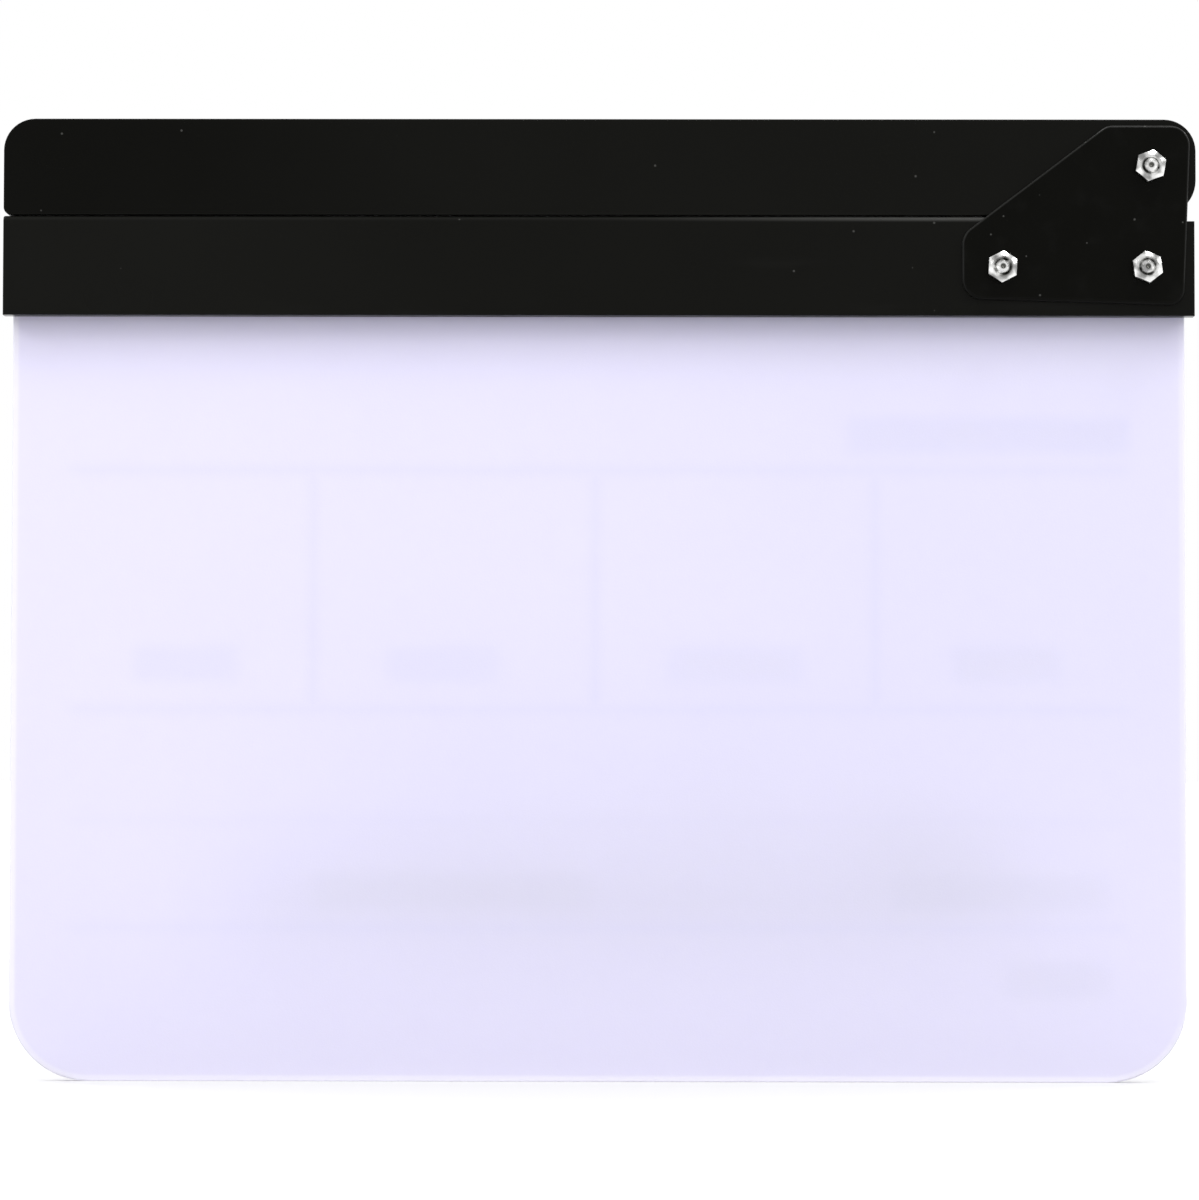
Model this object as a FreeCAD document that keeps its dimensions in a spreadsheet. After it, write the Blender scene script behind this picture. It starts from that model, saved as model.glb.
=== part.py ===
import FreeCAD, Part
import os
import Sketcher

# A closed clapperboard, standing on the lower edge of its board.
# +Z is up, the writing side looks along -Y, and the hinge is at the -X end of the sticks.
# The origin is the middle of the board's lower edge. Lengths are millimetres, angles degrees.

SIZES = {
    # board of frosted acrylic
    "board_width": 296,
    "board_drop": 192.5,  # height that shows below the lower stick
    "board_seat": 16,  # height hidden in the lower stick's groove
    "board_thickness": 3,
    "board_corner": 20,
    "board_rim_round": 0.4,
    # the two clap sticks
    "stick_length": 300,
    "stick_thickness": 12,
    "stick_edge_round": 1.3,  # along the lower stick's top
    "upper_edge_round": 0.4,
    "lip_edge_round": 0.4,  # at the lower stick's ends and along the groove's lips
    "lower_height": 25.1,
    "upper_height": 24.4,
    "upper_overhang": 0.4,  # how far the upper stick stands past the lower at the hinge end
    "clap_gap": 0.2,  # between the closed sticks
    "upper_corner": 8,
    "heel_corner": 9,
    "tip_corner": 2,
    "groove_relief": 0.5,  # room above the board in the groove
    "front_lip_rise": 1.5,  # how much higher the groove's front lip ends than its rear lip
    "heel_relief_depth": 1.2,  # step in the lower stick's top, under the turning heel
    "heel_relief_run": 14.5,  # from the pivot towards the tip
    # bonding tape on both faces of the board, inside the groove
    "tape_thickness": 0.2,
    "tape_margin": 2,
    # places of the three screws
    "pivot_inset": 11.8,  # from the upper stick's hinge end
    "pivot_rise": 12.2,  # above the upper stick's lower edge
    "outer_screw_inset": 12.3,  # from the lower stick's hinge end
    "screw_pitch": 36.3,
    "screw_rise": 12,  # above the lower stick's lower edge
    # pan head machine screws and hex nuts
    "screw_diameter": 4,
    "screw_hole_gap": 0.25,
    "screw_end_proud": 0.4,
    "screw_end_chamfer": 0.9,
    "screw_end_dimple": 0.25,
    "screw_dimple_radius": 0.45,
    "head_diameter": 8,
    "head_height": 2.6,
    "head_crown": 1.6,
    "recess_span": 4.2,
    "recess_slot": 0.9,
    "recess_depth": 1.4,
    "nut_across_flats": 7,
    "nut_height": 3.2,
    "nut_face_share": 0.78,
    "nut_chamfer_angle": 30,
    "nut_countersink": 0.3,
    "thread_gap": 0.03,
    "pivot_turn": -10,
    "inner_turn": -3,
    "outer_turn": 8,
    # spacer bush and slip washers of the pivot
    "bush_diameter": 6,
    "bush_screw_gap": 0.05,
    "bush_running_gap": 0.05,
    "washer_diameter": 11,
    "washer_thickness": 0.3,
    "washer_bore_gap": 0.1,
    "clapper_play": 0.05,
    # hinge plates, measured from the screws that hold them
    "plate_thickness": 1.2,
    "plate_corner": 5,
    "plate_heel_corner": 4,
    "plate_edge_round": 0.9,
    "plate_top_rise": 10.5,  # above the pivot
    "plate_top_run": 10.7,  # from the pivot to the start of the slope
    "plate_top_reach": 10.4,  # past the pivot to the hinge end
    "plate_heel_reach": 9.5,  # past the outer screw
    "plate_heel_drop": 9.5,  # below the outer screw
    "plate_toe_drop": 7.9,  # below the inner screw
    "plate_toe_reach": 9.9,  # past the inner screw towards the tip
    "plate_shoulder_rise": 8.4,  # above the inner screw
    # closing magnets near the tip
    "magnet_diameter": 6,
    "magnet_height": 4,
    "magnet_inset": 15,
    "magnet_glue_gap": 0.05,
    "magnet_face_gap": 0.1,
    "magnet_chamfer": 0.3,
    # white stripes on the writing side of the sticks
    "stripe_width": 16.2,
    "stripe_space": 16.2,
    "stripe_slant": 22,
    "stripe_thickness": 0.15,
    "stripe_plate_gap": 3,
    "stripe_tip_gap": 4,
    # how far a cut runs past the face that it starts from
    "cut_overrun": 1,
}
SAME_PLACE = 1e-4  # two points closer than this are one point

doc = FreeCAD.newDocument("clapperboard")
sheet = doc.addObject("Spreadsheet::Sheet", "dim")
for row, (alias, number) in enumerate(SIZES.items(), start=1):
    sheet.set(f"A{row}", alias)
    sheet.set(f"B{row}", str(number))
    sheet.setAlias(f"B{row}", alias)
doc.recompute()

# Places that several pieces share, as formulas of the sheet
HALF_STICK = "(dim.stick_thickness / 2)"
PLATE_FACE = "(dim.stick_thickness / 2 + dim.plate_thickness)"
TIP_END = "(dim.stick_length / 2)"
HINGE_END = "(-dim.stick_length / 2)"
LOWER_BOTTOM = "dim.board_drop"
LOWER_TOP = "(dim.board_drop + dim.lower_height)"
LOWER_LIP = "(dim.board_drop + dim.front_lip_rise)"
UPPER_BOTTOM = f"({LOWER_TOP} + dim.clap_gap)"
UPPER_TOP = f"({UPPER_BOTTOM} + dim.upper_height)"
UPPER_HINGE_END = f"({HINGE_END} - dim.upper_overhang)"
UPPER_THICKNESS = "(dim.stick_thickness - 2 * (dim.washer_thickness + dim.clapper_play))"
HALF_UPPER = f"({UPPER_THICKNESS} / 2)"
BOARD_TOP = "(dim.board_drop + dim.board_seat)"
PIVOT_X = f"({UPPER_HINGE_END} + dim.pivot_inset)"
PIVOT_Z = f"({UPPER_BOTTOM} + dim.pivot_rise)"
OUTER_X = f"({HINGE_END} + dim.outer_screw_inset)"
INNER_X = f"({OUTER_X} + dim.screw_pitch)"
SCREW_Z = "(dim.board_drop + dim.screw_rise)"
SCREW_RADIUS = "(dim.screw_diameter / 2)"
SCREW_HOLE = "(dim.screw_diameter / 2 + dim.screw_hole_gap)"
BUSH_RADIUS = "(dim.bush_diameter / 2)"
PLATE_TOE = f"({INNER_X} + dim.plate_toe_reach)"
MAGNET_X = f"({TIP_END} - dim.magnet_inset)"
MAGNET_PROUD = "((dim.clap_gap - dim.magnet_face_gap) / 2)"
MAGNET_RADIUS = "(dim.magnet_diameter / 2)"
MAGNET_SEAT = f"(dim.magnet_height - {MAGNET_PROUD})"
STRIPE_SLANT = "dim.stripe_slant"

PLATE_SCREWS = [(OUTER_X, SCREW_Z), (INNER_X, SCREW_Z)]
ALL_SCREWS = [(PIVOT_X, PIVOT_Z)] + PLATE_SCREWS
sub_parts = []


def worth(formula):
    """The number that a formula of the sheet gives now."""
    return float(sheet.evalExpression(formula))


def new_body(label, x="0", z="0"):
    """An empty sub-part whose own origin lies at x, z on the middle plane of the sticks."""
    body = doc.addObject("PartDesign::Body", label)
    body.Label = label
    body.AllowCompound = True
    body.setExpression("Placement.Base.x", x)
    body.setExpression("Placement.Base.z", z)
    sub_parts.append(body)
    return body


def new_sketch(body, name, plane, offset="0"):
    """A sketch on one of the body's own planes, moved by offset along that plane's normal."""
    sketch = body.newObject("Sketcher::SketchObject", f"{body.Name}_{name}")
    support = [feature for feature in body.Origin.OriginFeatures if feature.Role == plane]
    sketch.AttachmentSupport = [(support[0], "")]
    sketch.MapMode = "FlatFace"
    sketch.setExpression("AttachmentOffset.Base.z", offset)
    return sketch


def pin_point(sketch, geometry, point, x, y):
    """Holds a point of the sketch at x, y from the sketch's origin."""
    for kind, axis, formula in (("DistanceX", -2, x), ("DistanceY", -1, y)):
        if formula == "0":
            sketch.addConstraint(Sketcher.Constraint("PointOnObject", geometry, point, axis))
            continue
        rule = Sketcher.Constraint(kind, -1, 1, geometry, point, worth(formula))
        number = sketch.addConstraint(rule)
        sketch.setExpression(f"Constraints[{number}]", formula)


def draw_outline(sketch, corners):
    """A closed outline of straight lines through the given corners."""
    places = [FreeCAD.Vector(worth(x), worth(y)) for x, y in corners]
    lines = []
    for start, end in zip(places, places[1:] + places[:1]):
        lines.append(sketch.addGeometry(Part.LineSegment(start, end)))
    for line, following in zip(lines, lines[1:] + lines[:1]):
        sketch.addConstraint(Sketcher.Constraint("Coincident", line, 2, following, 1))
    for line, (x, y) in zip(lines, corners):
        pin_point(sketch, line, 1, x, y)


def draw_rectangle(sketch, left, right, low, high):
    draw_outline(sketch, [(left, low), (right, low), (right, high), (left, high)])


def draw_circle(sketch, radius, x="0", y="0"):
    centre = FreeCAD.Vector(worth(x), worth(y))
    circle = sketch.addGeometry(Part.Circle(centre, FreeCAD.Vector(0, 0, 1), worth(radius)))
    pin_point(sketch, circle, 3, x, y)
    number = sketch.addConstraint(Sketcher.Constraint("Radius", circle, worth(radius)))
    sketch.setExpression(f"Constraints[{number}]", radius)


def raise_pad(sketch, length, symmetric=False, backwards=False):
    """Gives the sketch's outline its thickness. Backwards is against the sketch's normal."""
    body = sketch.getParentGeoFeatureGroup()
    pad = body.newObject("PartDesign::Pad", f"{sketch.Name}_pad")
    pad.Profile = sketch
    pad.setExpression("Length", length)
    pad.SideType = "Symmetric" if symmetric else "One side"
    pad.Reversed = backwards
    doc.recompute()
    return pad


def cut_pocket(sketch, depth=None, backwards=False):
    """Cuts the sketch's outline to a depth against its normal, or right through both ways."""
    body = sketch.getParentGeoFeatureGroup()
    before = body.Shape.Volume
    pocket = body.newObject("PartDesign::Pocket", f"{sketch.Name}_cut")
    pocket.Profile = sketch
    pocket.Reversed = backwards
    if depth:
        pocket.setExpression("Length", depth)
    else:
        pocket.Type = "ThroughAll"
        pocket.SideType = "Symmetric"
    doc.recompute()
    if not pocket.Shape.Volume < before:
        raise RuntimeError(f"{pocket.Name} cuts nothing")
    return pocket


def turn_profile(sketch, kind):
    """Spins the sketch's outline about the Y axis, to add a solid or to cut a groove."""
    body = sketch.getParentGeoFeatureGroup()
    spun = body.newObject(f"PartDesign::{kind}", f"{sketch.Name}_{kind.lower()}")
    spun.Profile = sketch
    spun.ReferenceAxis = (sketch, ["V_Axis"])
    doc.recompute()
    return spun


def ease_edges(feature, kind, size, chosen):
    """Rounds or chamfers the edges of a feature that the test picks."""
    body = feature.getParentGeoFeatureGroup()
    names = [f"Edge{n}" for n, edge in enumerate(feature.Shape.Edges, start=1) if chosen(edge)]
    eased = body.newObject(f"PartDesign::{kind}", f"{feature.Name}_{kind.lower()}")
    eased.Base = (feature, names)
    eased.setExpression("Radius" if kind == "Fillet" else "Size", size)
    doc.recompute()
    return eased


def corner_at(x, z):
    """Picks the edge that runs along Y through x, z."""
    here = FreeCAD.Vector(worth(x), 0, worth(z))

    def chosen(edge):
        flat = [FreeCAD.Vector(vertex.X, 0, vertex.Z) for vertex in edge.Vertexes]
        return all(place.distanceToPoint(here) < SAME_PLACE for place in flat)

    return chosen


def rim_at(*depths):
    """Picks the edges that lie in a plane square to Y, at one of the given depths."""
    planes = [worth(depth) for depth in depths]

    def chosen(edge):
        box = edge.BoundBox
        return any(max(abs(box.YMin - y), abs(box.YMax - y)) < SAME_PLACE for y in planes)

    return chosen


def drill_holes(body, radius, places):
    """Round holes along Y, right through the body."""
    sketch = new_sketch(body, "holes", "XZ_Plane")
    for x, z in places:
        draw_circle(sketch, radius, x, z)
    return cut_pocket(sketch)


def make_board():
    """The writing board: a sheet with rounded lower corners and a polished, rounded rim."""
    body = new_body("slate_board")
    sketch = new_sketch(body, "outline", "XZ_Plane")
    left = "(-dim.board_width / 2)"
    right = "(dim.board_width / 2)"
    draw_rectangle(sketch, left, right, "0", BOARD_TOP)
    sheet_pad = raise_pad(sketch, "dim.board_thickness", symmetric=True)
    corners = ease_edges(
        sheet_pad,
        "Fillet",
        "dim.board_corner",
        lambda edge: corner_at(left, "0")(edge) or corner_at(right, "0")(edge),
    )
    rim = rim_at("dim.board_thickness / 2", "-dim.board_thickness / 2")
    ease_edges(corners, "Fillet", "dim.board_rim_round", rim)
    drill_holes(body, SCREW_HOLE, PLATE_SCREWS)


def make_lower_stick():
    """The fixed stick: a square-ended bar with a groove for the board, a step under the heel of
    the swinging stick and a seat for a magnet."""
    body = new_body("lower_stick")
    sketch = new_sketch(body, "outline", "XZ_Plane")
    draw_rectangle(sketch, HINGE_END, TIP_END, LOWER_BOTTOM, LOWER_TOP)
    raise_pad(sketch, "dim.stick_thickness", symmetric=True)
    front_lip = new_sketch(body, "front_lip", "YZ_Plane")
    draw_rectangle(
        front_lip,
        f"-{HALF_STICK} - dim.cut_overrun",
        "0",
        f"{LOWER_BOTTOM} - dim.cut_overrun",
        LOWER_LIP,
    )
    bar = cut_pocket(front_lip)
    rim = rim_at(HALF_STICK, f"-{HALF_STICK}")
    lips_end = worth(LOWER_LIP) + SAME_PLACE
    bar = ease_edges(
        bar,
        "Fillet",
        "dim.stick_edge_round",
        lambda edge: rim(edge) and edge.BoundBox.ZMin > lips_end,
    )
    ease_edges(
        bar,
        "Fillet",
        "dim.lip_edge_round",
        lambda edge: rim(edge) and edge.BoundBox.ZMin < lips_end,
    )

    groove = new_sketch(body, "groove", "YZ_Plane")
    half_groove = "(dim.board_thickness / 2 + dim.tape_thickness)"
    draw_rectangle(
        groove,
        f"-{half_groove}",
        half_groove,
        f"{LOWER_BOTTOM} - dim.cut_overrun",
        f"{BOARD_TOP} + dim.groove_relief",
    )
    cut_pocket(groove)
    heel_step = new_sketch(body, "heel_step", "XZ_Plane")
    draw_rectangle(
        heel_step,
        f"{HINGE_END} - dim.cut_overrun",
        f"{PIVOT_X} + dim.heel_relief_run",
        f"{LOWER_TOP} - dim.heel_relief_depth",
        f"{LOWER_TOP} + dim.cut_overrun",
    )
    cut_pocket(heel_step)
    drill_holes(body, SCREW_HOLE, PLATE_SCREWS)

    seat = new_sketch(body, "magnet_seat", "XY_Plane", LOWER_TOP)
    draw_circle(seat, f"{MAGNET_RADIUS} + dim.magnet_glue_gap", MAGNET_X)
    cut_pocket(seat, MAGNET_SEAT)


def make_upper_stick():
    """The swinging stick: rounded top corners, a round heel that clears the lower stick as it
    turns, a small relief at the tip, the pivot hole and a seat for a magnet."""
    body = new_body("upper_stick")
    sketch = new_sketch(body, "outline", "XZ_Plane")
    draw_rectangle(sketch, UPPER_HINGE_END, TIP_END, UPPER_BOTTOM, UPPER_TOP)
    bar = raise_pad(sketch, UPPER_THICKNESS, symmetric=True)
    for x, z, radius in (
        (UPPER_HINGE_END, UPPER_TOP, "dim.upper_corner"),
        (TIP_END, UPPER_TOP, "dim.upper_corner"),
        (UPPER_HINGE_END, UPPER_BOTTOM, "dim.heel_corner"),
        (TIP_END, UPPER_BOTTOM, "dim.tip_corner"),
    ):
        bar = ease_edges(bar, "Fillet", radius, corner_at(x, z))
    ease_edges(bar, "Fillet", "dim.upper_edge_round", rim_at(HALF_UPPER, f"-{HALF_UPPER}"))
    drill_holes(body, f"{BUSH_RADIUS} + dim.bush_running_gap", [(PIVOT_X, PIVOT_Z)])

    seat = new_sketch(body, "magnet_seat", "XY_Plane", UPPER_BOTTOM)
    draw_circle(seat, f"{MAGNET_RADIUS} + dim.magnet_glue_gap", MAGNET_X)
    cut_pocket(seat, MAGNET_SEAT, backwards=True)


def make_magnet(label, low):
    """A disc magnet that stands from low upwards and shows a little past its stick's edge."""
    body = new_body(label)
    sketch = new_sketch(body, "disc", "XY_Plane", low)
    draw_circle(sketch, MAGNET_RADIUS, MAGNET_X)
    disc = raise_pad(sketch, "dim.magnet_height")
    ease_edges(disc, "Chamfer", "dim.magnet_chamfer", lambda edge: edge.isClosed())


def make_tape(label, side):
    """A strip of bonding tape between one face of the board and the groove's wall."""
    body = new_body(label)
    sketch = new_sketch(body, "strip", "XZ_Plane", f"-({side}) * dim.board_thickness / 2")
    draw_rectangle(
        sketch,
        f"{INNER_X} + {SCREW_HOLE} + dim.tape_margin",
        "dim.board_width / 2 - dim.tape_margin",
        f"{LOWER_BOTTOM} + dim.tape_margin",
        f"{BOARD_TOP} - dim.tape_margin",
    )
    raise_pad(sketch, "dim.tape_thickness", backwards=worth(side) > 0)


def make_hinge_plate(label, side):
    """A stamped plate over the joint: level top, slope down to a shoulder, softly raked heel."""
    body = new_body(label)
    sketch = new_sketch(body, "outline", "XZ_Plane", f"-({side}) * {HALF_STICK}")
    top = f"{PIVOT_Z} + dim.plate_top_rise"
    corners = [
        (f"{PIVOT_X} - dim.plate_top_reach", top, "dim.plate_corner"),
        (f"{OUTER_X} - dim.plate_heel_reach", f"{SCREW_Z} - dim.plate_heel_drop", "dim.plate_heel_corner"),
        (PLATE_TOE, f"{SCREW_Z} - dim.plate_toe_drop", "dim.plate_corner"),
        (PLATE_TOE, f"{SCREW_Z} + dim.plate_shoulder_rise", "dim.plate_corner"),
        (f"{PIVOT_X} + dim.plate_top_run", top, "dim.plate_corner"),
    ]
    draw_outline(sketch, [(x, z) for x, z, radius in corners])
    plate = raise_pad(sketch, "dim.plate_thickness", backwards=worth(side) > 0)
    for x, z, radius in corners:
        plate = ease_edges(plate, "Fillet", radius, corner_at(x, z))
    ease_edges(plate, "Fillet", "dim.plate_edge_round", rim_at(f"({side}) * {PLATE_FACE}"))
    drill_holes(body, SCREW_HOLE, ALL_SCREWS)


def make_ring(label, outer, inner, plane, thickness, symmetric=False, backwards=False):
    """A flat ring or sleeve about the pivot."""
    body = new_body(label, PIVOT_X, PIVOT_Z)
    sketch = new_sketch(body, "ring", "XZ_Plane", plane)
    draw_circle(sketch, outer)
    draw_circle(sketch, inner)
    raise_pad(sketch, thickness, symmetric, backwards)


def turned(x, z, angle):
    """The point x, z turned about the screw's axis, from +Z towards +X."""
    cosine = f"cos({angle} * 1deg)"
    sine = f"sin({angle} * 1deg)"
    return f"({x}) * {cosine} + ({z}) * {sine}", f"({z}) * {cosine} - ({x}) * {sine}"


def make_screw(label, x, z, turn):
    """A pan head screw with a cross recess, put in from the writing side."""
    body = new_body(label, x, z)
    profile = new_sketch(body, "profile", "XY_Plane")
    head_radius = "(dim.head_diameter / 2)"
    head_top = f"(-{PLATE_FACE} - dim.head_height)"
    end = f"({PLATE_FACE} + dim.nut_height + dim.screw_end_proud)"
    draw_outline(
        profile,
        [
            ("0", head_top),
            (head_radius, head_top),
            (head_radius, f"-{PLATE_FACE}"),
            (SCREW_RADIUS, f"-{PLATE_FACE}"),
            (SCREW_RADIUS, f"{end} - dim.screw_end_chamfer"),
            (f"{SCREW_RADIUS} - dim.screw_end_chamfer", end),
            ("dim.screw_dimple_radius", end),
            ("0", f"{end} - dim.screw_end_dimple"),
        ],
    )
    blank = turn_profile(profile, "Revolution")
    ease_edges(blank, "Fillet", "dim.head_crown", rim_at(head_top))

    recess = new_sketch(body, "recess", "XZ_Plane", f"-{head_top}")
    slot = "dim.recess_slot / 2"
    span = "dim.recess_span / 2"
    arm = [(f"-{slot}", span), (slot, span), (slot, slot)]
    cross = [turned(a, b, f"({turn} + {quarter * 90})") for quarter in range(4) for a, b in arm]
    draw_outline(recess, cross)
    cut_pocket(recess, "dim.recess_depth")


def make_nut(label, x, z, turn):
    """A hex nut, chamfered on both faces, tightened against the rear plate."""
    body = new_body(label, x, z)
    sketch = new_sketch(body, "hexagon", "XZ_Plane", f"-{PLATE_FACE}")
    corner = "(dim.nut_across_flats / 2 / cos(30deg))"
    draw_outline(sketch, [turned("0", corner, f"({turn} + {side * 60})") for side in range(6)])
    raise_pad(sketch, "dim.nut_height", backwards=True)

    chamfer = new_sketch(body, "chamfer", "XY_Plane")
    inside = "(dim.nut_across_flats / 2 * dim.nut_face_share)"
    outside = f"({corner} + dim.cut_overrun)"
    slope = f"({outside} - {inside}) * tan(dim.nut_chamfer_angle * 1deg)"
    near = PLATE_FACE
    far = f"({PLATE_FACE} + dim.nut_height)"
    draw_outline(chamfer, [(inside, far), (outside, far), (outside, f"{far} - {slope}")])
    draw_outline(chamfer, [(inside, near), (outside, near), (outside, f"{near} + {slope}")])
    turn_profile(chamfer, "Groove")

    bore = drill_holes(body, f"{SCREW_RADIUS} + dim.thread_gap", [("0", "0")])
    ease_edges(
        bore,
        "Chamfer",
        "dim.nut_countersink",
        lambda edge: rim_at(far)(edge)
        and edge.Curve.TypeId == "Part::GeomCircle"
        and edge.Curve.Radius < worth(inside) - worth("dim.nut_countersink"),
    )


def make_stripes(label, face, low, high, slant_low, slant_high):
    """White slanted strips, evenly spaced from the hinge plate to the tip, on a stick's face."""
    body = new_body(label)
    start = f"({PLATE_TOE} + dim.stripe_plate_gap)"
    pitch = "(dim.stripe_width + dim.stripe_space)"
    room = f"({TIP_END} - dim.stripe_tip_gap - {STRIPE_SLANT} - {start})"
    sketch = new_sketch(body, "strip", "XZ_Plane", face)
    draw_outline(
        sketch,
        [
            (f"{start} + {slant_low}", f"{low} + dim.stick_edge_round"),
            (f"{start} + {slant_low} + dim.stripe_width", f"{low} + dim.stick_edge_round"),
            (f"{start} + {slant_high} + dim.stripe_width", f"{high} - dim.stick_edge_round"),
            (f"{start} + {slant_high}", f"{high} - dim.stick_edge_round"),
        ],
    )
    strip = raise_pad(sketch, "dim.stripe_thickness")
    row = body.newObject("PartDesign::LinearPattern", f"{label}_row")
    row.Originals = [strip]
    row.Direction = (sketch, ["H_Axis"])
    row.Mode = "Spacing"
    row.setExpression("Offset", pitch)
    row.setExpression("Occurrences", f"floor(({room} + dim.stripe_space) / {pitch})")
    body.Tip = row
    doc.recompute()


make_board()
make_lower_stick()
make_tape("front_groove_tape", "-1")
make_tape("rear_groove_tape", "1")
make_upper_stick()
make_magnet("lower_stick_magnet", f"{LOWER_TOP} - {MAGNET_SEAT}")
make_magnet("upper_stick_magnet", f"{UPPER_BOTTOM} - {MAGNET_PROUD}")
make_ring(
    "pivot_bush",
    BUSH_RADIUS,
    f"{SCREW_RADIUS} + dim.bush_screw_gap",
    "0",
    "dim.stick_thickness",
    symmetric=True,
)
for washer, side in (("front_pivot_washer", "-1"), ("rear_pivot_washer", "1")):
    make_ring(
        washer,
        "dim.washer_diameter / 2",
        f"{BUSH_RADIUS} + dim.washer_bore_gap",
        f"-({side}) * {HALF_STICK}",
        "dim.washer_thickness",
        backwards=worth(side) < 0,
    )
make_hinge_plate("front_hinge_plate", "-1")
make_hinge_plate("rear_hinge_plate", "1")
for place, (x, z), turn in (
    ("pivot", (PIVOT_X, PIVOT_Z), "dim.pivot_turn"),
    ("inner_plate", (INNER_X, SCREW_Z), "dim.inner_turn"),
    ("outer_plate", (OUTER_X, SCREW_Z), "dim.outer_turn"),
):
    make_screw(f"{place}_screw", x, z, turn)
    make_nut(f"{place}_nut", x, z, turn)
make_stripes("lower_stick_stripes", HALF_STICK, LOWER_LIP, LOWER_TOP, STRIPE_SLANT, "0")
make_stripes("upper_stick_stripes", HALF_UPPER, UPPER_BOTTOM, UPPER_TOP, "0", STRIPE_SLANT)

doc.recompute()
failed = [item.Name for item in doc.Objects if {"Invalid", "Error"} & set(item.State)]
failed += [body.Label for body in sub_parts if body.Shape.isNull() or not body.Shape.isValid()]
if failed:
    raise RuntimeError(f"these did not build: {failed}")
os.makedirs("parts", exist_ok=True)
for body in sub_parts:
    body.Shape.exportStep(f"parts/{body.Label}.step")
    print(body.Label, len(body.Shape.Solids), round(body.Shape.Volume, 1))
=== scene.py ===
import math
import bmesh
import bpy
from mathutils import Matrix, Quaternion, Vector


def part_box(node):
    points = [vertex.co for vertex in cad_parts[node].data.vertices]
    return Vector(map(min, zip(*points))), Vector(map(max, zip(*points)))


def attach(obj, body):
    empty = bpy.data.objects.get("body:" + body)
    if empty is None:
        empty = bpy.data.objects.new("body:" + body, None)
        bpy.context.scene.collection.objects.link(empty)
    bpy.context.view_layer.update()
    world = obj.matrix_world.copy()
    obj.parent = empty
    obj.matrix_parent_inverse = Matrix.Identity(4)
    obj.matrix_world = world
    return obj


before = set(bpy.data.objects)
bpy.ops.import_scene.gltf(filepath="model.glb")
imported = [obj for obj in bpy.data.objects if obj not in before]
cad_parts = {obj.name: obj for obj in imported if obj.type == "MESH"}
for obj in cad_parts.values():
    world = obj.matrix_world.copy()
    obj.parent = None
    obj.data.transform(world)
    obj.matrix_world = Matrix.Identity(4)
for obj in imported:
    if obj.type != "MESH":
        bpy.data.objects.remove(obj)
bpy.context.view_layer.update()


# The slate board: a 3 mm sheet of cast acrylic, opal white with a lavender cast, frosted on the rear
# and smooth on the writing side. It is sawn out, its rim is polished, and tape holds its top edge in
# the lower stick's groove.
MM = 0.001


def new_finish(name, specular=0.5, metallic=0.0):
    """A material with one shader, whose even values are set on its own sockets."""
    material = bpy.data.materials.new(name)
    material.use_nodes = True
    shader = material.node_tree.nodes["Principled BSDF"]
    shader.inputs["Specular IOR Level"].default_value = specular
    shader.inputs["Metallic"].default_value = metallic
    return material, shader


def wire(tree, socket, value):
    """Feeds a socket from another socket, or sets it to a plain value."""
    if isinstance(value, bpy.types.NodeSocket):
        tree.links.new(value, socket)
    else:
        socket.default_value = value


def reckon(tree, operation, *values):
    """One step of arithmetic in a material."""
    node = tree.nodes.new("ShaderNodeMath")
    node.operation = operation
    for socket, value in zip(node.inputs, values):
        wire(tree, socket, value)
    return node.outputs["Value"]


def ramp(tree, value, start, end, low=0.0, high=1.0):
    """Goes smoothly from low at start to high at end, and stays there."""
    node = tree.nodes.new("ShaderNodeMapRange")
    node.interpolation_type = "SMOOTHSTEP"
    for name, number in (("From Min", start), ("From Max", end), ("To Min", low), ("To Max", high)):
        node.inputs[name].default_value = number
    wire(tree, node.inputs["Value"], value)
    return node.outputs["Result"]


def tint(tree, share, colour, other):
    """Goes from one colour to the other by a share from 0 to 1."""
    node = tree.nodes.new("ShaderNodeMix")
    node.data_type = "RGBA"
    wire(tree, node.inputs["Factor"], share)
    for name, shade in (("A_Color", colour), ("B_Color", other)):
        socket = next(item for item in node.inputs if item.identifier == name)
        wire(tree, socket, shade if isinstance(shade, bpy.types.NodeSocket) else (*shade, 1.0))
    return next(item for item in node.outputs if item.identifier == "Result_Color")


def place_on_piece(tree):
    """The place on the piece, in metres."""
    return tree.nodes.new("ShaderNodeTexCoord").outputs["Object"]


def split(tree, place):
    """The x, y and z of a place or direction."""
    parts = tree.nodes.new("ShaderNodeSeparateXYZ")
    tree.links.new(place, parts.inputs["Vector"])
    return parts.outputs["X"], parts.outputs["Y"], parts.outputs["Z"]


def mottle(tree, place, size, detail=2.0, stretch=(1.0, 1.0, 1.0)):
    """Cloudy variation from 0 to 1 with patches of about the given size."""
    mapping = tree.nodes.new("ShaderNodeMapping")
    mapping.inputs["Scale"].default_value = stretch
    tree.links.new(place, mapping.inputs["Vector"])
    noise = tree.nodes.new("ShaderNodeTexNoise")
    noise.inputs["Scale"].default_value = 1.0 / size
    noise.inputs["Detail"].default_value = detail
    tree.links.new(mapping.outputs["Vector"], noise.inputs["Vector"])
    return noise.outputs["Fac"]


def soft_box(tree, x, z, left, right, low, high, blur):
    """1 inside a rectangle of the board and 0 outside, with blurred sides."""
    sides = []
    for across, first, last in ((x, left, right), (z, low, high)):
        off = reckon(tree, "ABSOLUTE", reckon(tree, "SUBTRACT", across, (first + last) / 2))
        half = (last - first) / 2
        sides.append(ramp(tree, off, half + blur, half - blur))
    return reckon(tree, "MULTIPLY", *sides)


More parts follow.
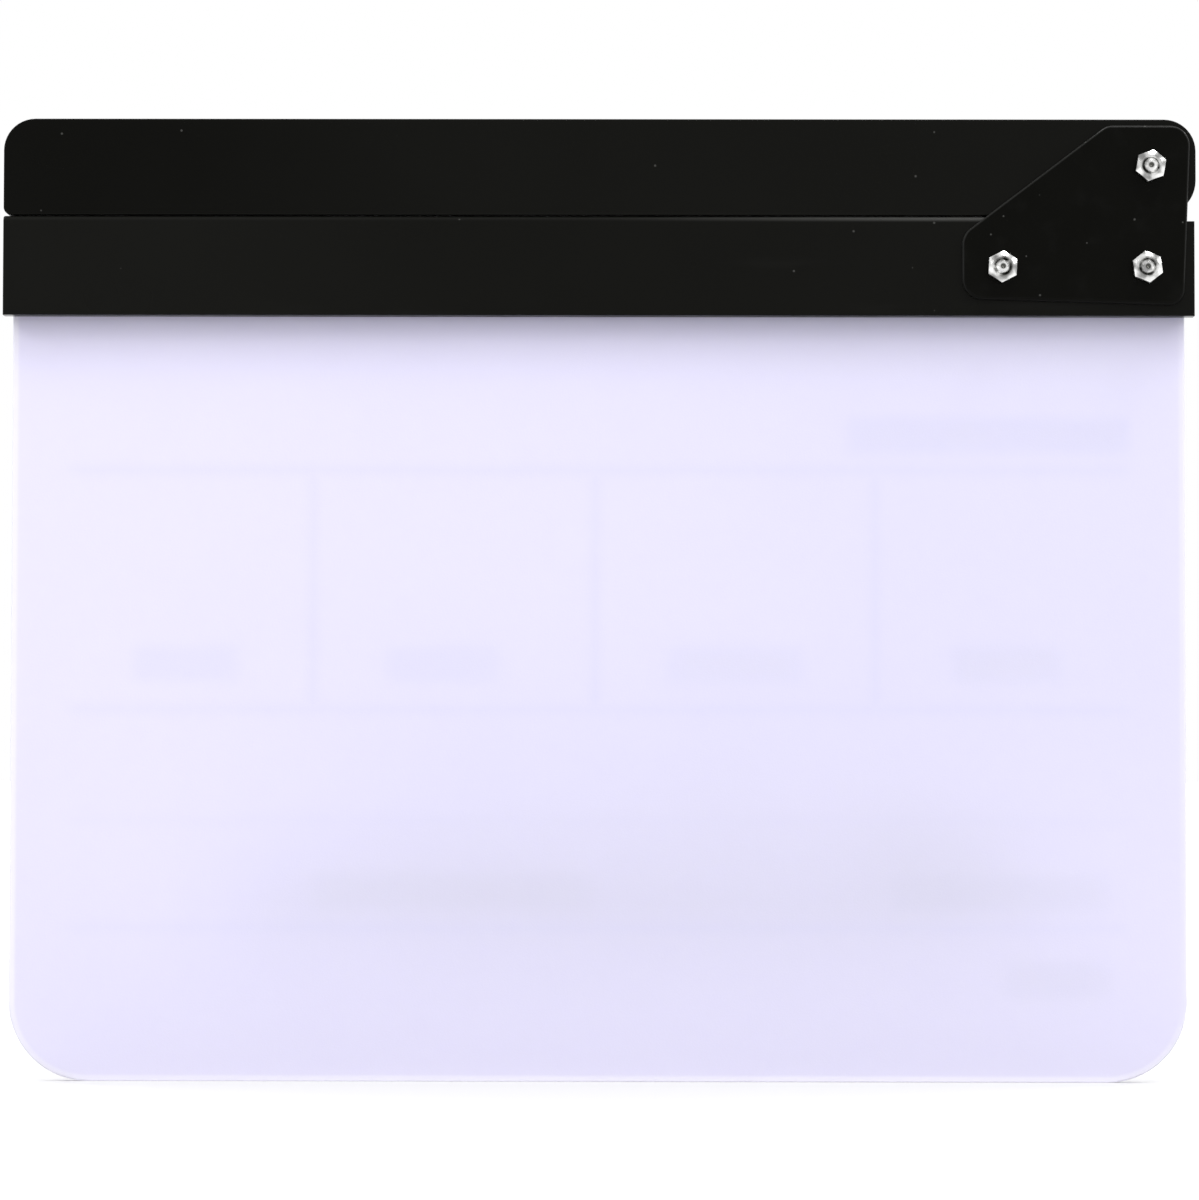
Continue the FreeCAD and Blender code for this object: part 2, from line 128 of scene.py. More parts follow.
def roughen(tree, shader, height, depth):
    """Gives the shader a surface relief of the given depth in metres."""
    bump = tree.nodes.new("ShaderNodeBump")
    bump.inputs["Distance"].default_value = depth
    tree.links.new(height, bump.inputs["Height"])
    tree.links.new(bump.outputs["Normal"], shader.inputs["Normal"])


def dress(node, material):
    """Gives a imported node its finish."""
    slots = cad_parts[node].data.materials
    slots.clear()
    slots.append(material)


board_low, board_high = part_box("slate_board")
board_half = board_high[0]
board_face = board_low[1]
BOARD_CORNER = 20 * MM
OPAL = (0.783, 0.759, 0.94)
# the opal's darker colour, for the haze and for the painted shade
OPAL_HAZE_AND_PAINTED_SHADE = (0.626, 0.617, 0.725)
# painted glow of the rim, brighter towards +x, and its colour at the foot
RIM_PAINTED_GLOW = (0.770, 0.752, 0.905)
RIM_PAINTED_GLOW_LIT = (0.845, 0.825, 0.965)
FOOT_PAINTED_GLOW = (0.82, 0.80, 0.945)
SAWN_EDGE = (0.62, 0.61, 0.71)
INK_THROUGH = (0.545, 0.555, 0.90)
FROST_TURN = 0.2 * MM

acrylic, shader = new_finish("frosted_acrylic", specular=0.25)
tree = acrylic.node_tree
place = place_on_piece(tree)
x, y, z = split(tree, place)
rear = ramp(tree, y, -FROST_TURN, FROST_TURN)

# distance inside the sawn outline, from its two round corners and straight sides
RIM_START, RIM_FULL = 2.0 * MM, 1.0 * MM
SAWN_WIDTH = 0.4 * MM
SAWN_START, SAWN_FULL = 1.3 * MM, 1.0 * MM
SAWN_LEAST = 0.3
FOOT_HEIGHT = 2 * MM
past_x = reckon(tree, "SUBTRACT", reckon(tree, "ABSOLUTE", x), board_half - BOARD_CORNER)
past_z = reckon(tree, "SUBTRACT", BOARD_CORNER, z)
square_x = reckon(tree, "POWER", reckon(tree, "MAXIMUM", past_x, 0.0), 2.0)
square_z = reckon(tree, "POWER", reckon(tree, "MAXIMUM", past_z, 0.0), 2.0)
round_part = reckon(tree, "SQRT", reckon(tree, "ADD", square_x, square_z))
flat_part = reckon(tree, "MINIMUM", reckon(tree, "MAXIMUM", past_x, past_z), 0.0)
inside = reckon(tree, "SUBTRACT", BOARD_CORNER, reckon(tree, "ADD", round_part, flat_part))
rim_glow = ramp(tree, inside, RIM_START, RIM_FULL)
narrow = ramp(tree, reckon(tree, "ABSOLUTE", y), SAWN_START, SAWN_FULL, SAWN_LEAST)
off_foot = ramp(tree, z, FOOT_HEIGHT, BOARD_CORNER)
sawn_side = reckon(tree, "MULTIPLY", ramp(tree, inside, SAWN_WIDTH, 0.0), off_foot)
sawn = reckon(tree, "MULTIPLY", sawn_side, narrow)

# the printed form of the writing side, which shows faintly through the sheet
FORM_HALF = 133.5 * MM
RULE_WIDTH = 0.8 * MM
RULE_BLUR = 3.2 * MM
ROW_LINES = [153.7 * MM, 93.4 * MM, 65.4 * MM, 38.5 * MM]
ROW_SHARES = [0.8, 0.7, 0.25, 0.5]
CELL_LINES = [-69.8 * MM, 0.7 * MM, 71.8 * MM]
CELL_SHARE = 0.85
TAB_HEIGHT = 9 * MM
TAB_BLUR = 2.2 * MM
# left side, right side and foot of each tab
TABS = [
    (-134.0 * MM, -63.0 * MM, 158.2 * MM),
    (-116.8 * MM, -89.2 * MM, 100.3 * MM),
    (-51.5 * MM, -17.5 * MM, 100.3 * MM),
    (24.8 * MM, 52.8 * MM, 100.3 * MM),
    (90.5 * MM, 117.5 * MM, 100.3 * MM),
    (-128.6 * MM, -74.6 * MM, 43.2 * MM),
    (2.0 * MM, 72.0 * MM, 43.2 * MM),
    (-128.6 * MM, -102.4 * MM, 21.2 * MM),
]
TAB_SHARES = [0.7, 0.4, 0.4, 0.4, 0.4, 0.3, 0.2, 0.35]
TAB_PATCH = 14 * MM
TAB_LEAST = 0.7
MOTTLE_RANGE = (0.3, 0.7)
GHOST_SHARE = 0.2
half_rule = RULE_WIDTH / 2
shown = 0.0
for line, share in zip(ROW_LINES, ROW_SHARES):
    mark = soft_box(tree, x, z, -FORM_HALF, FORM_HALF, line - half_rule, line + half_rule, RULE_BLUR)
    shown = reckon(tree, "MAXIMUM", shown, reckon(tree, "MULTIPLY", mark, share))
for line in CELL_LINES:
    mark = soft_box(tree, x, z, line - half_rule, line + half_rule, ROW_LINES[1], ROW_LINES[0], RULE_BLUR)
    shown = reckon(tree, "MAXIMUM", shown, reckon(tree, "MULTIPLY", mark, CELL_SHARE))
patches = ramp(tree, mottle(tree, place, TAB_PATCH), *MOTTLE_RANGE, TAB_LEAST)
for (left, right, low), share in zip(TABS, TAB_SHARES):
    mark = soft_box(tree, x, z, left, right, low, low + TAB_HEIGHT, TAB_BLUR)
    worn = reckon(tree, "MULTIPLY", patches, share)
    shown = reckon(tree, "MAXIMUM", shown, reckon(tree, "MULTIPLY", mark, worn))
ghost = reckon(tree, "MULTIPLY", reckon(tree, "MULTIPLY", shown, rear), GHOST_SHARE)

# a light haze in the opal, and painted shade: four soft darker areas low down, and the hinge side
HAZE_SIZE = 90 * MM
HAZE_RANGE = (0.35, 0.75)
HAZE_SHARE = 0.06
# left, right, low and high side of each area, and its blur
PAINTED_SHADE_AREAS = [
    (-75 * MM, 60 * MM, 38 * MM, 85 * MM, 45 * MM),
    (-110 * MM, 85 * MM, 10 * MM, 75 * MM, 40 * MM),
    (-112 * MM, 92 * MM, 36 * MM, 54 * MM, 21 * MM),
    (-100 * MM, -65 * MM, 48 * MM, 66 * MM, 18 * MM),
]
PAINTED_SHADE_SHARES = [0.1, 0.12, 0.23, 0.16]
HINGE_SIDE_LOW, HINGE_SIDE_HIGH = 20 * MM, 110 * MM
HINGE_SIDE_LEAST = 0.45
HINGE_SIDE_SHADE_SHARE = 0.28
haze = ramp(tree, mottle(tree, place, HAZE_SIZE), *HAZE_RANGE)
upper_part = ramp(tree, z, HINGE_SIDE_LOW, HINGE_SIDE_HIGH, HINGE_SIDE_LEAST)
hinge_side_shade = reckon(tree, "MULTIPLY", ramp(tree, x, board_half, -board_half), upper_part)
# the haze and the painted shade, as a share of the darker colour
shade = reckon(tree, "MULTIPLY", haze, HAZE_SHARE)
for area, share in zip(PAINTED_SHADE_AREAS, PAINTED_SHADE_SHARES):
    painted_shade = reckon(tree, "MULTIPLY", soft_box(tree, x, z, *area), share)
    shade = reckon(tree, "ADD", shade, painted_shade)
shade = reckon(tree, "ADD", shade, reckon(tree, "MULTIPLY", hinge_side_shade, HINGE_SIDE_SHADE_SHARE))

GRAIN_SIZE = 0.5 * MM
FROST_DEPTH = 0.02 * MM
SMOOTH_ROUGHNESS = 0.22
FROST_ROUGHNESS = 0.6
SCATTER_SHARE = 0.4
SCATTER_DEPTH = 3 * MM
body = tint(tree, shade, OPAL, OPAL_HAZE_AND_PAINTED_SHADE)
printed = tint(tree, ghost, body, INK_THROUGH)
# a painted glow along the rim, brighter towards +x and with its own colour at the foot
rim_glow_side = tint(tree, ramp(tree, x, -board_half, board_half), RIM_PAINTED_GLOW, RIM_PAINTED_GLOW_LIT)
glowing_rim = tint(tree, rim_glow, printed, tint(tree, off_foot, FOOT_PAINTED_GLOW, rim_glow_side))
tree.links.new(tint(tree, sawn, glowing_rim, SAWN_EDGE), shader.inputs["Base Color"])
frost = reckon(tree, "MULTIPLY", mottle(tree, place, GRAIN_SIZE), rear)
tree.links.new(ramp(tree, rear, 0.0, 1.0, SMOOTH_ROUGHNESS, FROST_ROUGHNESS), shader.inputs["Roughness"])
roughen(tree, shader, frost, FROST_DEPTH)
shader.inputs["Subsurface Weight"].default_value = SCATTER_SHARE
shader.inputs["Subsurface Radius"].default_value = (1.0, 1.0, 1.0)
shader.inputs["Subsurface Scale"].default_value = SCATTER_DEPTH
dress("slate_board", acrylic)


# The bonding tape in the groove: two strips of pale acrylic foam, sticky on both sides. They are
# pressed between the board and the groove's walls, and hold the board by themselves.
tape, shader = new_finish("bonding_tape")
tree = tape.node_tree
place = place_on_piece(tree)
FOAM = (0.62, 0.62, 0.60)
FOAM_CELL = (0.5, 0.5, 0.48)
FOAM_CELL_SIZE = 0.4 * MM
FOAM_ROUGHNESS = 0.8
cells = mottle(tree, place, FOAM_CELL_SIZE)
tree.links.new(tint(tree, cells, FOAM, FOAM_CELL), shader.inputs["Base Color"])
shader.inputs["Roughness"].default_value = FOAM_ROUGHNESS
for strip in ("front_groove_tape", "rear_groove_tape"):
    dress(strip, tape)


# The two clap sticks: straight bars of solid plastic, satin black, milled and with eased edges. The
# lower one is grooved for the board, and the upper one swings on the pivot bush. A painted highlight
# runs along their meeting edge, brightest towards the hinge.
satin, shader = new_finish("stick_black", specular=0.06)
tree = satin.node_tree
place = place_on_piece(tree)
x, y, z = split(tree, place)


def specks(tree, place, spacing, radius, share):
    """Scattered dots of about one radius, in the given share of evenly spaced cells."""
    middle_share = 0.6
    cells = tree.nodes.new("ShaderNodeTexVoronoi")
    cells.inputs["Scale"].default_value = 1.0 / spacing
    tree.links.new(place, cells.inputs["Vector"])
    dot = ramp(tree, cells.outputs["Distance"], radius / spacing, middle_share * radius / spacing)
    pick = tree.nodes.new("ShaderNodeSeparateColor")
    tree.links.new(cells.outputs["Color"], pick.inputs["Color"])
    kept = reckon(tree, "LESS_THAN", pick.outputs["Red"], share)
    return reckon(tree, "MULTIPLY", dot, kept)


STICK_BLACK = (0.0034, 0.0034, 0.0026)
STICK_TIP_DARKER = (0.0012, 0.0012, 0.0006)
STICK_TIP_LIGHTER = (0.0046, 0.0046, 0.0037)
STICK_SCUFF = (0.010, 0.010, 0.009)
SEAM_PAINTED_HIGHLIGHT = (0.036, 0.036, 0.034)
DUST = (0.05, 0.05, 0.047)
DUST_RADIUS = 0.35 * MM
STICK_DUST_SPACING = 5 * MM
DUST_SHARE = 0.2

# the upper stick is a little darker towards the tip, and the lower one a little lighter there
SEAM_BLUR = 0.1 * MM
TIP_START, TIP_FULL = 20 * MM, 120 * MM
clap_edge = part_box("lower_stick_magnet")[1][2]
lower_one = ramp(tree, z, clap_edge + SEAM_BLUR, clap_edge)
tip_end = ramp(tree, x, TIP_START, TIP_FULL)
coat = tint(tree, tip_end, STICK_BLACK, tint(tree, lower_one, STICK_TIP_DARKER, STICK_TIP_LIGHTER))

SCUFF_SIZE = 9 * MM
SCUFF_STRETCH = (0.12, 1.0, 1.0)
SCUFF_RANGE = (0.62, 0.80)
SCUFF_SHARE = 0.35
# a painted highlight along the lower stick's top edge under the seam, growing towards the hinge, with a
# little of it all along
GLINT_DROP = 0.7 * MM
GLINT_START, GLINT_FULL = 0.9 * MM, 0.2 * MM
GLINT_FROM, GLINT_TO = 5 * MM, -100 * MM
GLINT_LEAST = 0.06
streaks = mottle(tree, place, SCUFF_SIZE, detail=4.0, stretch=SCUFF_STRETCH)
scuffs = ramp(tree, streaks, *SCUFF_RANGE)
painted = tint(tree, reckon(tree, "MULTIPLY", scuffs, SCUFF_SHARE), coat, STICK_SCUFF)
off_edge = reckon(tree, "ABSOLUTE", reckon(tree, "SUBTRACT", z, clap_edge - GLINT_DROP))
near_edge = ramp(tree, off_edge, GLINT_START, GLINT_FULL)
seam_glint = reckon(tree, "MULTIPLY", near_edge, ramp(tree, x, GLINT_FROM, GLINT_TO, GLINT_LEAST))
seam_lit = tint(tree, seam_glint, painted, SEAM_PAINTED_HIGHLIGHT)
dust = specks(tree, place, STICK_DUST_SPACING, DUST_RADIUS, DUST_SHARE)
tree.links.new(tint(tree, dust, seam_lit, DUST), shader.inputs["Base Color"])

STICK_SHEEN_SIZE = 30 * MM
STICK_ROUGHNESS = (0.27, 0.35)
STICK_GRAIN = 0.9 * MM
STICK_GRAIN_DEPTH = 0.01 * MM
sheen = ramp(tree, mottle(tree, place, STICK_SHEEN_SIZE), *MOTTLE_RANGE, *STICK_ROUGHNESS)
tree.links.new(sheen, shader.inputs["Roughness"])
roughen(tree, shader, mottle(tree, place, STICK_GRAIN, detail=1.0), STICK_GRAIN_DEPTH)
for stick in ("lower_stick", "upper_stick"):
    dress(stick, satin)


# The stripes of the writing side: strips of white vinyl film, cut on the slant. They are stuck on
# the sticks' faces, seven on each, and are a little scuffed.
vinyl, shader = new_finish("stripe_white", specular=0.2)
tree = vinyl.node_tree
place = place_on_piece(tree)
VINYL_WHITE = (0.86, 0.86, 0.84)
VINYL_WORN = (0.79, 0.79, 0.77)
VINYL_PATCH = 12 * MM
WORN_RANGE = (0.5, 0.8)
VINYL_SHEEN_SIZE = 6 * MM
VINYL_ROUGHNESS = (0.34, 0.5)
worn = ramp(tree, mottle(tree, place, VINYL_PATCH, detail=4.0), *WORN_RANGE)
tree.links.new(tint(tree, worn, VINYL_WHITE, VINYL_WORN), shader.inputs["Base Color"])
sheen = ramp(tree, mottle(tree, place, VINYL_SHEEN_SIZE), *MOTTLE_RANGE, *VINYL_ROUGHNESS)
tree.links.new(sheen, shader.inputs["Roughness"])
for stripes in ("lower_stick_stripes", "upper_stick_stripes"):
    dress(stripes, vinyl)


# The closing magnets: nickel plated discs, glued into blind holes near the sticks' tips.
# They meet face to face and hold the sticks shut.
nickel, shader = new_finish("magnet_nickel", metallic=1.0)
tree = nickel.node_tree
place = place_on_piece(tree)
NICKEL = (0.72, 0.70, 0.66)
NICKEL_DULL = (0.55, 0.53, 0.50)
NICKEL_PATCH = 1.5 * MM
NICKEL_SHEEN_SIZE = 0.8 * MM
NICKEL_ROUGHNESS = (0.18, 0.34)
dull = mottle(tree, place, NICKEL_PATCH)
tree.links.new(tint(tree, dull, NICKEL, NICKEL_DULL), shader.inputs["Base Color"])
sheen = ramp(tree, mottle(tree, place, NICKEL_SHEEN_SIZE), *MOTTLE_RANGE, *NICKEL_ROUGHNESS)
tree.links.new(sheen, shader.inputs["Roughness"])
for magnet in ("lower_stick_magnet", "upper_stick_magnet"):
    dress(magnet, nickel)


# The pivot: a turned brass bush on the pivot screw, which the nut clamps, so that the stick still
# turns on it. Two thin nylon washers round the bush keep the stick off the plates.
brass, shader = new_finish("bush_brass", metallic=1.0)
tree = brass.node_tree
place = place_on_piece(tree)
BRASS = (0.72, 0.54, 0.24)
BRASS_DULL = (0.50, 0.36, 0.16)
TURNING_SIZE = 0.5 * MM
TURNING_STRETCH = (0.05, 1.0, 0.05)
BRASS_ROUGHNESS = 0.3
turning = mottle(tree, place, TURNING_SIZE, detail=1.0, stretch=TURNING_STRETCH)
tree.links.new(tint(tree, turning, BRASS, BRASS_DULL), shader.inputs["Base Color"])
shader.inputs["Roughness"].default_value = BRASS_ROUGHNESS
dress("pivot_bush", brass)

nylon, shader = new_finish("washer_nylon")
tree = nylon.node_tree
place = place_on_piece(tree)
NYLON = (0.80, 0.79, 0.73)
NYLON_WORN = (0.62, 0.61, 0.56)
NYLON_PATCH = 2 * MM
NYLON_ROUGHNESS = 0.5
worn = mottle(tree, place, NYLON_PATCH)
tree.links.new(tint(tree, worn, NYLON, NYLON_WORN), shader.inputs["Base Color"])
shader.inputs["Roughness"].default_value = NYLON_ROUGHNESS
for washer in ("front_pivot_washer", "rear_pivot_washer"):
    dress(washer, nylon)


# The two hinge plates: stamped sheet steel with a rolled outer edge, in smooth black enamel.
# Screws clamp them to the lower stick's end, and a painted highlight lies on their rims, fainter towards
# their foot.
enamel, shader = new_finish("plate_black", specular=0.05)
tree = enamel.node_tree
place = place_on_piece(tree)
x, y, z = split(tree, place)
PLATE_BLACK = (0.0012, 0.0012, 0.0006)
PLATE_RUBBED = (0.003, 0.003, 0.0024)
PLATE_RIM_PAINTED_HIGHLIGHT = (0.020, 0.020, 0.019)
PLATE_PATCH = 7 * MM
PLATE_DUST_SPACING = 3 * MM
ROLL_START, ROLL_FULL = 0.04 * MM, 0.3 * MM
RIM_HIGHLIGHT_LOW, RIM_HIGHLIGHT_HIGH = 2 * MM, 9 * MM
RIM_HIGHLIGHT_LEAST = 0.25
plate_low, plate_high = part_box("rear_hinge_plate")
plate_face = plate_high[1]
plate_foot = plate_low[2]
rubbed = ramp(tree, mottle(tree, place, PLATE_PATCH, detail=4.0), *WORN_RANGE)
flat_coat = tint(tree, rubbed, PLATE_BLACK, PLATE_RUBBED)
# a painted highlight on the rolled rim, fainter towards the plate's foot
rolled = ramp(tree, reckon(tree, "ABSOLUTE", y), plate_face - ROLL_START, plate_face - ROLL_FULL)
rim_highlight_fade = ramp(tree, z, plate_foot + RIM_HIGHLIGHT_LOW, plate_foot + RIM_HIGHLIGHT_HIGH, RIM_HIGHLIGHT_LEAST)
coat = tint(tree, reckon(tree, "MULTIPLY", rolled, rim_highlight_fade), flat_coat, PLATE_RIM_PAINTED_HIGHLIGHT)
dust = specks(tree, place, PLATE_DUST_SPACING, DUST_RADIUS, DUST_SHARE)
tree.links.new(tint(tree, dust, coat, DUST), shader.inputs["Base Color"])

PLATE_SHEEN_SIZE = 10 * MM
PLATE_ROUGHNESS = (0.28, 0.36)
PLATE_GRAIN = 0.7 * MM
PLATE_GRAIN_DEPTH = 0.008 * MM
sheen = ramp(tree, mottle(tree, place, PLATE_SHEEN_SIZE), *MOTTLE_RANGE, *PLATE_ROUGHNESS)
tree.links.new(sheen, shader.inputs["Roughness"])
roughen(tree, shader, mottle(tree, place, PLATE_GRAIN, detail=1.0), PLATE_GRAIN_DEPTH)
for plate in ("front_hinge_plate", "rear_hinge_plate"):
    dress(plate, enamel)


# The screws and nuts: steel pan head screws from the writing side and hex nuts on the rear, in
# bright zinc plate with patches of painted dark reflection. One is the pivot, and two hold the plates
# to the lower stick.
zinc, shader = new_finish("bright_zinc", metallic=1.0)
tree = zinc.node_tree
place = place_on_piece(tree)
x, y, z = split(tree, place)
ZINC = (0.72, 0.72, 0.71)
ZINC_PAINTED_REFLECTION = (0.24, 0.24, 0.235)
PAINTED_RECESS_SHADE = (0.06, 0.06, 0.055)
FIXINGS = ("pivot", "inner_plate", "outer_plate")
REFLECTION_SIZE = 2.6 * MM
REFLECTION_RANGE = (0.36, 0.66)
# patches of painted dark reflection on the zinc
painted_reflections = ramp(tree, mottle(tree, place, REFLECTION_SIZE, detail=1.0), *REFLECTION_RANGE)
plating_and_reflections = tint(tree, painted_reflections, ZINC, ZINC_PAINTED_REFLECTION)

# painted shade in the centre mark of the screws' ends, and here and there round the thread
FAR_OFF = 1.0
THREAD_RADIUS = 2 * MM
THREAD_START, THREAD_FULL = 0.6 * MM, 0.2 * MM
CENTRE_START, CENTRE_FULL = 0.9 * MM, 0.5 * MM
RECESS_SHADE_PATCH = 1.9 * MM
RECESS_SHADE_RANGE = (0.44, 0.60)
RECESS_SHADE_MOST = 0.85
RECESS_SHADE_DEPTH = 4 * MM
board_rear = board_high[1]
off_axis = FAR_OFF
for fixing in FIXINGS:
    low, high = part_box(f"{fixing}_nut")
    off_x = reckon(tree, "POWER", reckon(tree, "SUBTRACT", x, (low[0] + high[0]) / 2), 2.0)
    off_z = reckon(tree, "POWER", reckon(tree, "SUBTRACT", z, (low[2] + high[2]) / 2), 2.0)
    off = reckon(tree, "SQRT", reckon(tree, "ADD", off_x, off_z))
    off_axis = reckon(tree, "MINIMUM", off_axis, off)
centre = ramp(tree, off_axis, CENTRE_START, CENTRE_FULL)
off_thread = reckon(tree, "ABSOLUTE", reckon(tree, "SUBTRACT", off_axis, THREAD_RADIUS))
broken = ramp(tree, mottle(tree, place, RECESS_SHADE_PATCH, detail=1.0), *RECESS_SHADE_RANGE, 0.0, RECESS_SHADE_MOST)
thread = reckon(tree, "MULTIPLY", ramp(tree, off_thread, THREAD_START, THREAD_FULL), broken)
rear_end = ramp(tree, y, board_rear, board_rear + RECESS_SHADE_DEPTH)
recess_shade = reckon(tree, "MULTIPLY", reckon(tree, "MAXIMUM", centre, thread), rear_end)
tree.links.new(tint(tree, recess_shade, plating_and_reflections, PAINTED_RECESS_SHADE), shader.inputs["Base Color"])

ZINC_SHEEN_SIZE = 3 * MM
ZINC_ROUGHNESS = (0.2, 0.32)
sheen = ramp(tree, mottle(tree, place, ZINC_SHEEN_SIZE), *MOTTLE_RANGE, *ZINC_ROUGHNESS)
tree.links.new(sheen, shader.inputs["Roughness"])
for fixing in FIXINGS:
    dress(f"{fixing}_nut", zinc)
    dress(f"{fixing}_screw", zinc)


# The print on the writing side: a ruled form, screen printed in black ink on the smooth face. Each
# field has a plain grey tab with a number, all in ink a fiftieth of a millimetre thick.
scene = bpy.context.scene
INK_THICKNESS = 0.02 * MM
INK = (0.015, 0.015, 0.017)
INK_THIN = (0.05, 0.05, 0.055)
INK_PATCH = 1.5 * MM
INK_RANGE = (0.55, 0.8)
INK_ROUGHNESS = 0.45
ink, shader = new_finish("form_ink")
tree = ink.node_tree
place = place_on_piece(tree)
thin = ramp(tree, mottle(tree, place, INK_PATCH, detail=4.0), *INK_RANGE)
tree.links.new(tint(tree, thin, INK, INK_THIN), shader.inputs["Base Color"])
shader.inputs["Roughness"].default_value = INK_ROUGHNESS


def box_in_mesh(mesh, low, high):
    """Adds a box between two corners."""
    made = bmesh.ops.create_cube(mesh, size=1.0)
    size = Vector(high) - Vector(low)
    middle = (Vector(high) + Vector(low)) / 2
    bmesh.ops.scale(mesh, vec=size, verts=made["verts"])
    bmesh.ops.translate(mesh, vec=middle, verts=made["verts"])


def new_piece(name, mesh, material, rides_on):
    """Makes a mesh a piece of the object, on one of its bodies."""
    data = bpy.data.meshes.new(name)
    bmesh.ops.recalc_face_normals(mesh, faces=mesh.faces)
    mesh.to_mesh(data)
    mesh.free()
    data.materials.append(material)
    piece = bpy.data.objects.new(name, data)
    scene.collection.objects.link(piece)
    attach(piece, rides_on)


rules = bmesh.new()
ink_front = board_face - INK_THICKNESS
for line in ROW_LINES:
    low = (-FORM_HALF, ink_front, line - half_rule)
    box_in_mesh(rules, low, (FORM_HALF, board_face, line + half_rule))
for line in CELL_LINES:
    low = (line - half_rule, ink_front, ROW_LINES[1] + half_rule)
    box_in_mesh(rules, low, (line + half_rule, board_face, ROW_LINES[0] - half_rule))
new_piece("form_rules", rules, ink, "slate")

TINT_GREY = (0.50, 0.50, 0.53)
TINT_PALE = (0.55, 0.55, 0.58)
TINT_PATCH = 4 * MM
TINT_RANGE = (0.45, 0.75)
TINT_ROUGHNESS = 0.5
tint_ink, shader = new_finish("form_tint")
tree = tint_ink.node_tree
place = place_on_piece(tree)
patchy = ramp(tree, mottle(tree, place, TINT_PATCH, detail=3.0), *TINT_RANGE)
tree.links.new(tint(tree, patchy, TINT_GREY, TINT_PALE), shader.inputs["Base Color"])
shader.inputs["Roughness"].default_value = TINT_ROUGHNESS
tabs = bmesh.new()
for left, right, low in TABS:
    box_in_mesh(tabs, (left, ink_front, low), (right, board_face, low + TAB_HEIGHT))
new_piece("form_tabs", tabs, tint_ink, "slate")

NUMBER_SIZE = 9.5 * MM
NUMBER_INSET = 5 * MM
NUMBER_BOLD = 0.15 * MM
WELD = INK_THICKNESS / 10
UPRIGHT = Matrix.Rotation(math.radians(90), 4, "X")
numbers = bmesh.new()
for field, (left, right, low) in enumerate(TABS, start=1):
    letters = bpy.data.curves.new(f"form_number_{field}", "FONT")
    letters.body = str(field)
    letters.size = NUMBER_SIZE
    letters.align_x = "CENTER"
    letters.align_y = "CENTER"
    letters.extrude = INK_THICKNESS
    letters.offset = NUMBER_BOLD
    sign = bpy.data.objects.new(letters.name, letters)
    flat = bpy.data.meshes.new_from_object(sign)
    flat.transform(UPRIGHT)
    flat.transform(Matrix.Translation((left + NUMBER_INSET, ink_front, low + TAB_HEIGHT / 2)))
    numbers.from_mesh(flat)
    bpy.data.objects.remove(sign)
    bpy.data.curves.remove(letters)
    bpy.data.meshes.remove(flat)
bmesh.ops.remove_doubles(numbers, verts=numbers.verts, dist=WELD)
new_piece("form_numbers", numbers, ink, "slate")


# The studio: a white floor under the slate, white all round for the camera, and a bright ceiling
# that sinks to a greyer horizon, so that the sticks throw a soft shadow down the board. Three lamps
# light the rear, and three the writing side.
scene.view_settings.view_transform = "Standard"
FLOOR_HALF = 8.0
floor_mesh = bmesh.new()
bmesh.ops.create_grid(floor_mesh, x_segments=1, y_segments=1, size=FLOOR_HALF)
floor_data = bpy.data.meshes.new("studio_floor")
floor_mesh.to_mesh(floor_data)
floor_mesh.free()
floor = bpy.data.objects.new("studio_floor", floor_data)
scene.collection.objects.link(floor)


def backdrop_share(tree):
    """1 for the rays that show the backdrop, straight or in a mirror, and 0 for those that light."""
    rays = tree.nodes.new("ShaderNodeLightPath")
    mirrored = reckon(tree, "MAXIMUM", rays.outputs["Is Glossy Ray"], rays.outputs["Is Transmission Ray"])
    return reckon(tree, "MAXIMUM", rays.outputs["Is Camera Ray"], mirrored)


FLOOR_WHITE = (0.53, 0.53, 0.53)
FLOOR_BOUNCE = (0.35, 0.35, 0.35)
floor_paint = bpy.data.materials.new("studio_floor")
floor_paint.use_nodes = True
tree = floor_paint.node_tree
tree.nodes.clear()
place = place_on_piece(tree)
x, y, z = split(tree, place)
seen = backdrop_share(tree)
paint = tree.nodes.new("ShaderNodeBsdfDiffuse")
tree.links.new(tint(tree, seen, FLOOR_BOUNCE, FLOOR_WHITE), paint.inputs["Color"])

# the floor fades to plain white away from the slate, and a strip of it lights the board's foot
GLOW_START, GLOW_END = 0.3, 1.2
GLOW_NEAR, GLOW_FAR = 0.1, 1.0
STRIP_START, STRIP_FULL = 3.5 * MM, 1.5 * MM
FOOT_GLOW = 0.5
away = tree.nodes.new("ShaderNodeVectorMath")
away.operation = "LENGTH"
tree.links.new(place, away.inputs[0])
fading = ramp(tree, away.outputs["Value"], GLOW_START, GLOW_END, GLOW_NEAR, GLOW_FAR)
strip = ramp(tree, reckon(tree, "ABSOLUTE", y), STRIP_START, STRIP_FULL, 0.0, FOOT_GLOW)
strip_ends = ramp(tree, reckon(tree, "ABSOLUTE", x), board_half, board_half - BOARD_CORNER)
unseen = reckon(tree, "SUBTRACT", 1.0, seen)
lit_foot = reckon(tree, "MULTIPLY", unseen, reckon(tree, "MULTIPLY", strip, strip_ends))
strength = reckon(tree, "ADD", reckon(tree, "MULTIPLY", seen, fading), lit_foot)
glow = tree.nodes.new("ShaderNodeEmission")
tree.links.new(strength, glow.inputs["Strength"])
both = tree.nodes.new("ShaderNodeAddShader")
tree.links.new(paint.outputs["BSDF"], both.inputs[0])
tree.links.new(glow.outputs["Emission"], both.inputs[1])
output = tree.nodes.new("ShaderNodeOutputMaterial")
tree.links.new(both.outputs["Shader"], output.inputs["Surface"])
floor_data.materials.append(floor_paint)

